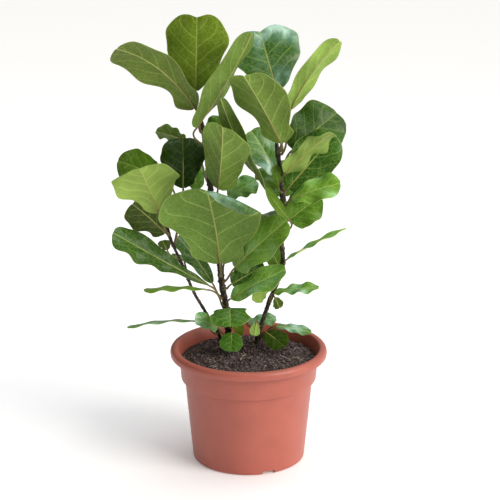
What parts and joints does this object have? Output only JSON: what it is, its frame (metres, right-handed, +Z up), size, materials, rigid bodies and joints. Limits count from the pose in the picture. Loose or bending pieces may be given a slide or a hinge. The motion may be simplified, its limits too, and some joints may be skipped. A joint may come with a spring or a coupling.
{
  "type": "potted fiddle leaf fig",
  "caption": "Young broad-leaved houseplant: woody stems carrying large waisted, wavy leaves, standing in soil in a round plastic nursery pot with a rolled rim.",
  "frame": {"origin": "middle of the pot's underside, on the floor it stands on", "axes": "+Z up along the pot's axis; +Y from the front of the plant to its back, so the front looks along -Y; +X to the right seen from the front"},
  "size_m": [0.4161, 0.3196, 0.7926],
  "materials": {
    "terracotta_plastic": "satin moulded terracotta-coloured plastic",
    "potting_mix": "dark crumbly bark and peat mix",
    "bark": "dark brown knobbly bark with leaf scars",
    "leaf": "leathery leaf, glossy above and matte below",
    "young_leaf": "young yellow-green leaf, softly glossy above and matte below"
  },
  "bodies": {
    "root": {"leaf_back_1": "leaf", "leaf_back_2": "leaf", "leaf_back_3": "leaf", "leaf_back_4": "leaf", "leaf_back_5": "leaf", "leaf_back_6": "leaf", "leaf_crown_1": "leaf", "leaf_crown_2": "leaf", "leaf_crown_3": "leaf", "leaf_crown_4": "leaf", "leaf_front_1": "leaf", "leaf_front_2": "leaf", "leaf_left_1": "young_leaf", "leaf_left_2": "leaf", "leaf_left_3": "leaf", "leaf_left_4": "leaf", "leaf_left_5": "leaf", "leaf_left_6": "leaf", "leaf_left_7": "leaf", "leaf_left_8": "young_leaf", "leaf_left_9": "leaf", "leaf_low_1": "leaf", "leaf_low_2": "leaf", "leaf_low_3": "leaf", "leaf_low_4": "leaf", "leaf_low_5": "leaf", "leaf_low_6": "leaf", "leaf_low_7": "young_leaf", "leaf_low_8": "leaf", "leaf_mid_1": "leaf", "leaf_mid_2": "leaf", "leaf_mid_3": "young_leaf", "leaf_mid_4": "leaf", "leaf_mid_5": "young_leaf", "leaf_right_1": "leaf", "leaf_right_10": "young_leaf", "leaf_right_11": "leaf", "leaf_right_12": "leaf", "leaf_right_13": "young_leaf", "leaf_right_14": "young_leaf", "leaf_right_2": "leaf", "leaf_right_3": "young_leaf", "leaf_right_4": "leaf", "leaf_right_5": "young_leaf", "leaf_right_6": "leaf", "leaf_right_7": "young_leaf", "leaf_right_8": "leaf", "leaf_right_9": "leaf", "leaf_upper_1": "leaf", "leaf_upper_2": "leaf", "leaf_upper_5": "leaf", "pot": "terracotta_plastic", "soil": "potting_mix", "stem_left": "bark", "stem_middle": "bark", "stem_right": "bark"}
  },
  "joints": []
}
